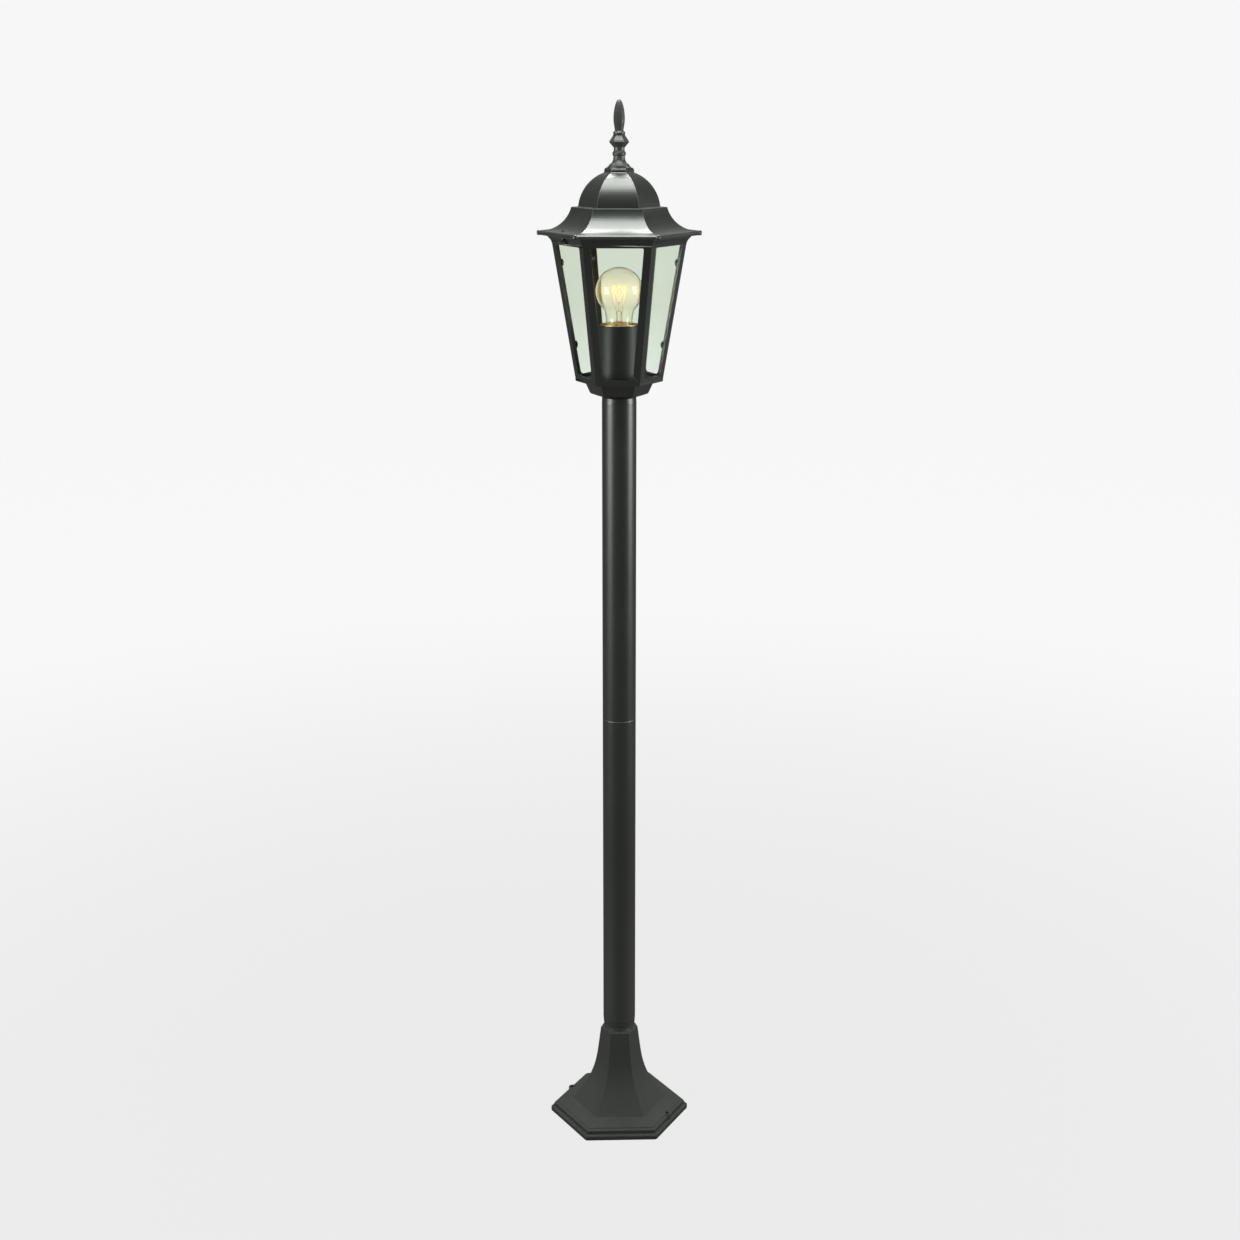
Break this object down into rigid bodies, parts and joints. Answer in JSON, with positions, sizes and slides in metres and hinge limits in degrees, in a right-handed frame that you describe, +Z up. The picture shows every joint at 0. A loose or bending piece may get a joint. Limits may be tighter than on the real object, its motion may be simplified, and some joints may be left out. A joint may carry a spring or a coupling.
{
  "type": "garden post lantern",
  "caption": "Free-standing post lantern: a hexagonal glazed lantern with a screw-in bulb on a round tube post and a flared hexagonal foot.",
  "frame": {"origin": "middle of the foot's underside, on the ground plane", "axes": "+Z up along the post; the foot's front flat faces -Y and two of its corners lie on X"},
  "size_m": [0.2068, 0.1866, 1.39],
  "materials": {
    "cast_black": "satin black powder coat on cast aluminium, fine texture",
    "tube_black": "satin black powder coat on drawn aluminium tube",
    "zinc_plate": "bright zinc plate",
    "black_screw": "steel screw under a satin black finish",
    "white_plastic": "moulded, matt",
    "holder_ceramic": "white glazed porcelain",
    "brass": "bright",
    "rubber": "matt black",
    "window_glass": "clear with a faint green tint",
    "shroud_black": "satin black moulding",
    "bulb_glass": "clear",
    "bulb_wire": "drawn wire, warm where lit",
    "cap_metal": "nickel bright",
    "cap_insulator": "black vitrite"
  },
  "bodies": {
    "post": {"base_casting": "cast_black", "lower_ferrule": "cast_black", "lower_tube": "tube_black", "joint_sleeve": "zinc_plate", "upper_tube": "tube_black", "upper_ferrule": "cast_black", "tie_rod": "zinc_plate", "rod_nuts": "zinc_plate", "rod_washers": "zinc_plate", "terminal_bracket": "zinc_plate", "terminal_block": "white_plastic", "terminal_screws": "brass", "bracket_bolt": "zinc_plate", "earth_screw": "brass", "cable_grommet": "rubber", "inner_lead": "rubber", "lantern_cup": "cast_black", "lantern_cage": "cast_black", "cage_screws": "zinc_plate", "glass_pane_1": "window_glass", "glass_pane_2": "window_glass", "glass_pane_3": "window_glass", "glass_pane_4": "window_glass", "glass_pane_5": "window_glass", "glass_pane_6": "window_glass", "pane_clips": "zinc_plate", "clip_screws": "zinc_plate", "holder_bracket": "zinc_plate", "holder_screws": "zinc_plate", "holder_body": "holder_ceramic", "socket_shell": "brass", "centre_contact": "brass", "holder_shroud": "shroud_black", "shroud_ring": "brass"},
    "roof": {"roof": "cast_black", "roof_screws": "black_screw", "finial": "cast_black", "finial_stud": "zinc_plate", "finial_nut": "zinc_plate", "finial_washer": "zinc_plate"},
    "bulb": {"bulb_envelope": "bulb_glass", "bulb_stem": "bulb_glass", "bulb_wires": "bulb_wire", "bulb_filament": "bulb_wire", "bulb_cap": "cap_metal", "bulb_insulator": "cap_insulator", "bulb_contact": "cap_metal"}
  },
  "joints": [
    {"name": "roof_lift", "type": "slide", "parent": "post", "child": "roof", "axis": [0, 0, 1], "range_m": [0, 0.12]},
    {"name": "bulb_slide", "type": "slide", "parent": "post", "child": "bulb", "axis": [0, 0, 1], "range_m": [0, 0.045]}
  ]
}
